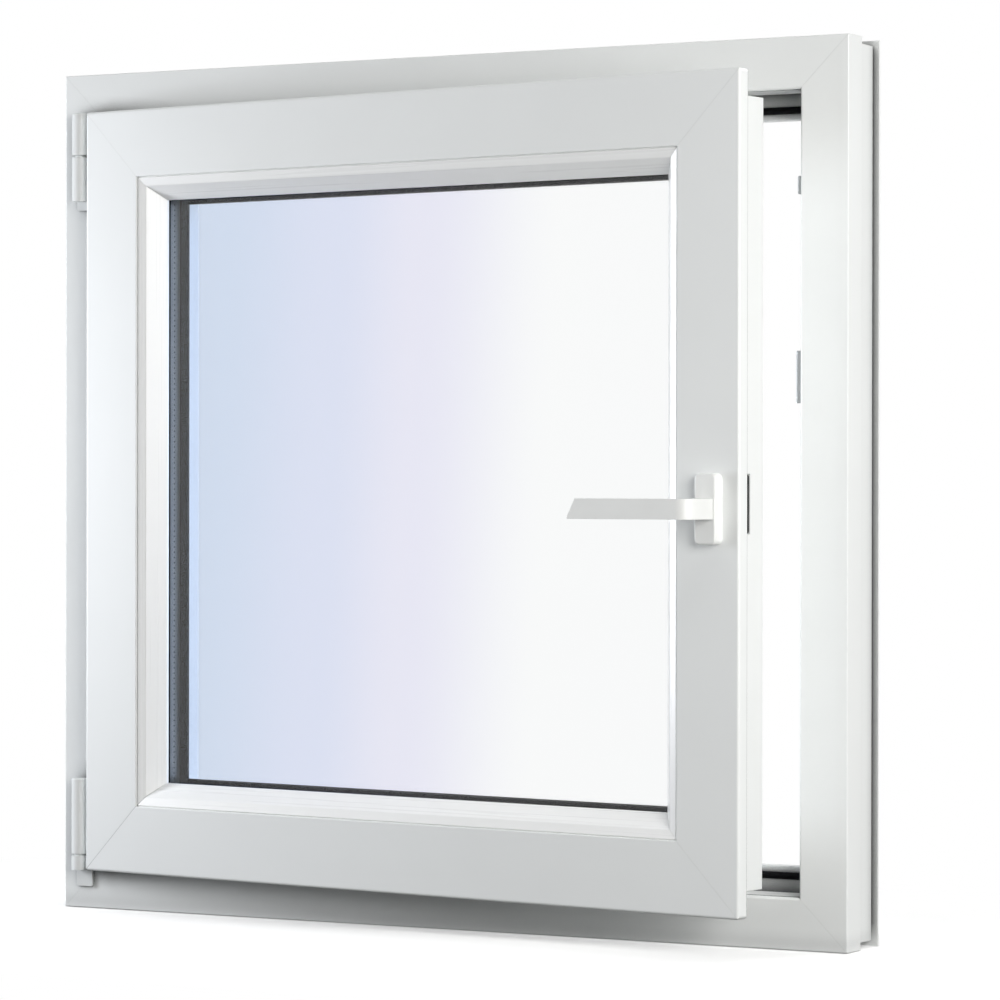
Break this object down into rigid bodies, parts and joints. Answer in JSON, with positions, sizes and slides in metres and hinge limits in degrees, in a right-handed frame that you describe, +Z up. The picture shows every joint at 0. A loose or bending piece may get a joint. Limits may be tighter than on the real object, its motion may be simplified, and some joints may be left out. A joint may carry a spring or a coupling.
{
  "type": "casement window",
  "caption": "Nearly square white single-sash window: mitred plastic frame, inward side-hung double-glazed sash, hinges on the left and a lever handle.",
  "frame": {"origin": "middle of the flange on the underside of the sill, along the room side", "axes": "+Z up, +Y to the outside, -Y into the room, +X to the right seen from the room"},
  "size_m": [0.82, 0.2434, 0.8],
  "materials": {
    "frame_upvc": "satin",
    "sash_upvc": "satin",
    "bead_upvc": "satin",
    "black_seal": "matte",
    "glass": "gloss",
    "spacer": "satin",
    "sealant": "matte",
    "packer": "matte",
    "zinc_steel": "satin",
    "white_metal": "satin",
    "white_cap": "satin"
  },
  "bodies": {
    "frame": {"frame_head": "frame_upvc", "frame_sill": "frame_upvc", "frame_hinge_jamb": "frame_upvc", "frame_lock_jamb": "frame_upvc", "frame_seal": "black_seal", "drain_caps": "white_cap", "striker_plates": "zinc_steel", "corner_bearing": "white_metal", "corner_pin": "zinc_steel", "stay_bearing": "white_metal", "stay_pin": "zinc_steel"},
    "sash": {"sash_top_rail": "sash_upvc", "sash_bottom_rail": "sash_upvc", "sash_hinge_stile": "sash_upvc", "sash_lock_stile": "sash_upvc", "lip_seal": "black_seal", "bead_top": "bead_upvc", "bead_bottom": "bead_upvc", "bead_hinge_side": "bead_upvc", "bead_lock_side": "bead_upvc", "inner_glazing_seal": "black_seal", "outer_glazing_seal": "black_seal", "glass_inner_pane": "glass", "glass_outer_pane": "glass", "spacer_bar": "spacer", "edge_seal": "sealant", "glazing_blocks": "packer", "gear_faceplate": "zinc_steel", "top_faceplate": "zinc_steel", "locking_cams": "zinc_steel", "gear_case": "zinc_steel", "corner_knuckle": "white_metal", "stay_knuckle": "white_metal", "handle_rosette": "white_metal"},
    "handle": {"handle_lever": "white_metal", "handle_spindle": "zinc_steel"}
  },
  "joints": [
    {"name": "sash_hinge", "type": "hinge", "parent": "frame", "child": "sash", "pos_m": [-0.386, -0.0245, 0.4], "axis": [0, 0, -1], "range_deg": [-8, 82]},
    {"name": "handle_turn", "type": "hinge", "parent": "sash", "child": "handle", "pos_m": [0.33578, -0.13402, 0.387], "axis": [0.1392, 0.9903, 0], "range_deg": [-90, 0]}
  ]
}
